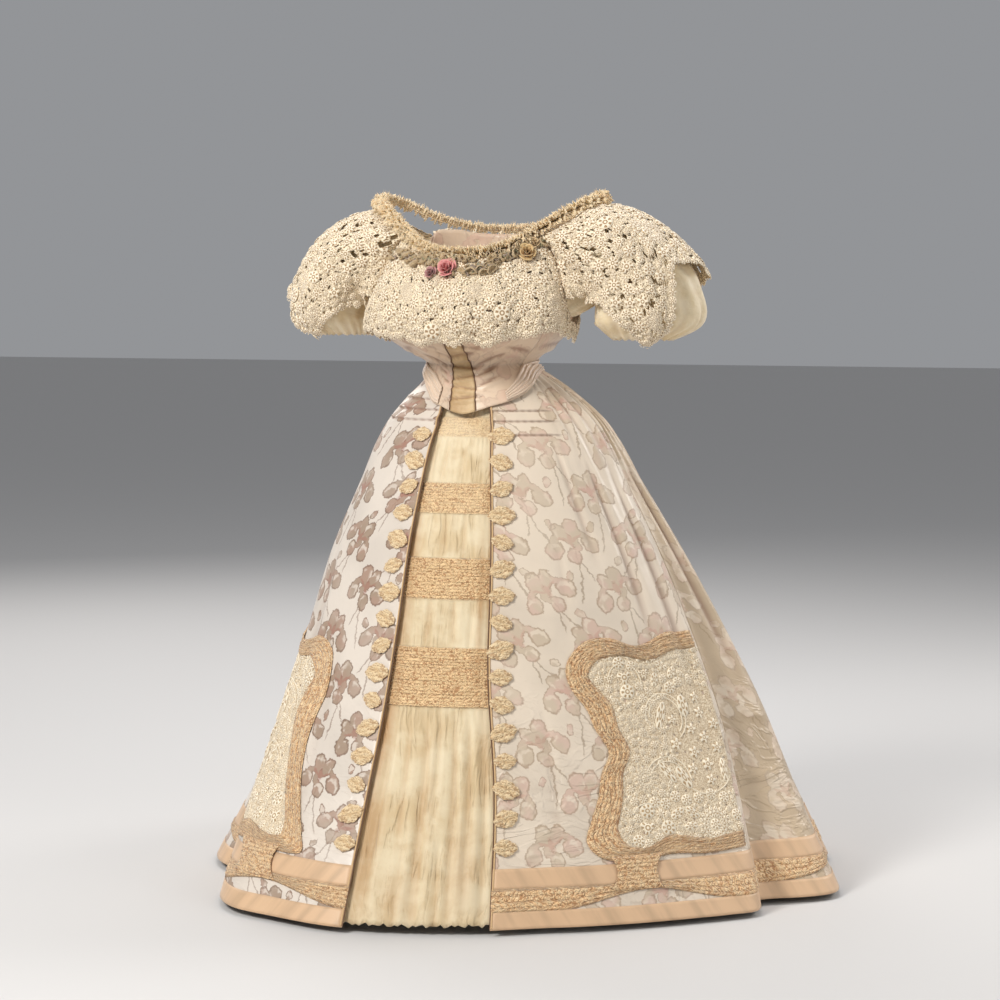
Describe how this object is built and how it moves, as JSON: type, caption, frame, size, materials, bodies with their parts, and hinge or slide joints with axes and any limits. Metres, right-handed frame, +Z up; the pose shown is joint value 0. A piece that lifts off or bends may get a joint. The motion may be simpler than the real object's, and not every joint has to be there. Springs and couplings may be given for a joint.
{
  "type": "ball gown",
  "caption": "Ball gown of about 1895: fitted bodice with lace bertha and puffed sleeves, flared brocade skirt opening over a chiffon panel.",
  "frame": {"origin": "centre of the waist, where the wearer holds the gown up", "axes": "+Z up through the neck, -Y the gown's front, +X the wearer's left side"},
  "size_m": [1.2989, 1.3603, 1.3555],
  "materials": {
    "iris_brocade": "satin brocaded with soft irises",
    "sash_satin": "soft folded satin",
    "hem_satin": "flat peach satin",
    "gold_chiffon": "matt crinkled chiffon",
    "ruched_chiffon": "matt ruched chiffon",
    "cotton_lace": "matt cotton lace",
    "pink_silk": "soft silk petals",
    "mauve_silk": "soft silk petals",
    "gold_silk": "soft silk petals"
  },
  "bodies": {
    "root": {"bertha_back_left": "cotton_lace", "bertha_back_right": "cotton_lace", "bertha_front_left": "cotton_lace", "bertha_front_right": "cotton_lace", "bodice_back_left": "iris_brocade", "bodice_back_right": "iris_brocade", "bodice_front_left": "iris_brocade", "bodice_front_right": "iris_brocade", "bodice_side_left": "iris_brocade", "bodice_side_right": "iris_brocade", "bodice_vest": "gold_chiffon", "hem_band_lower_left": "hem_satin", "hem_band_lower_right": "hem_satin", "hem_band_upper_left": "hem_satin", "hem_band_upper_right": "hem_satin", "hem_ruche_left": "ruched_chiffon", "hem_ruche_right": "ruched_chiffon", "lace_panel_border_left": "ruched_chiffon", "lace_panel_border_right": "ruched_chiffon", "lace_panel_left": "cotton_lace", "lace_panel_right": "cotton_lace", "lace_sleeve_left": "cotton_lace", "lace_sleeve_right": "cotton_lace", "neck_ruche_left": "ruched_chiffon", "neck_ruche_right": "ruched_chiffon", "rose_bud": "gold_silk", "rose_mauve": "mauve_silk", "rose_pink": "pink_silk", "rose_yellow": "gold_silk", "rosettes_left": "ruched_chiffon", "rosettes_right": "ruched_chiffon", "sash_left": "sash_satin", "sash_right": "sash_satin", "skirt_back_left": "iris_brocade", "skirt_back_right": "iris_brocade", "skirt_front_left": "iris_brocade", "skirt_front_right": "iris_brocade", "skirt_side_left": "iris_brocade", "skirt_side_right": "iris_brocade", "skirt_waistband": "iris_brocade", "sleeve_left": "gold_chiffon", "sleeve_right": "gold_chiffon", "underskirt_panel": "gold_chiffon"}
  },
  "joints": []
}
